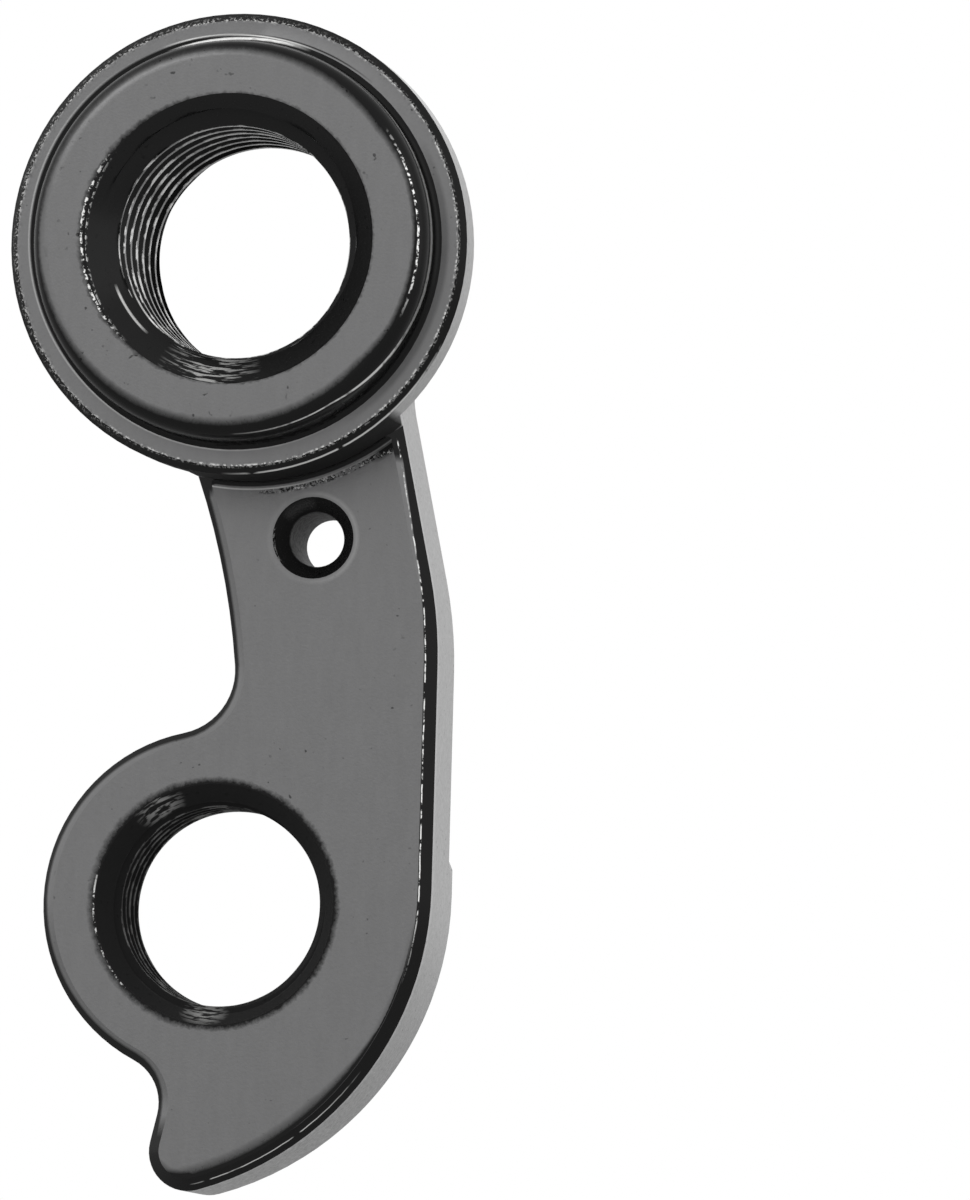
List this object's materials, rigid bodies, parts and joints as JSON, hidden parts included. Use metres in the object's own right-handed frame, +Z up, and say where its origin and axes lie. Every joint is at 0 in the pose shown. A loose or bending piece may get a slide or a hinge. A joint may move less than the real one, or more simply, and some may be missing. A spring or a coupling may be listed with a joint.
{
  "type": "bicycle derailleur hanger",
  "caption": "Machined hanger with a round flanged boss around its axle thread, a neck with a small screw hole, and a thicker threaded ring for the derailleur bolt with a stop hook below it.",
  "frame": {"origin": "on the axis of the axle thread, in the plane of the flange's inboard face, which seats on the frame", "axes": "+Z up, +X towards the front of the bicycle, +Y inboard along the axle thread, towards the wheel"},
  "size_m": [0.021, 0.0136, 0.0534],
  "materials": {
    "anodised_aluminium": "satin"
  },
  "bodies": {
    "root": {"derailleur_hanger": "anodised_aluminium"}
  },
  "joints": []
}
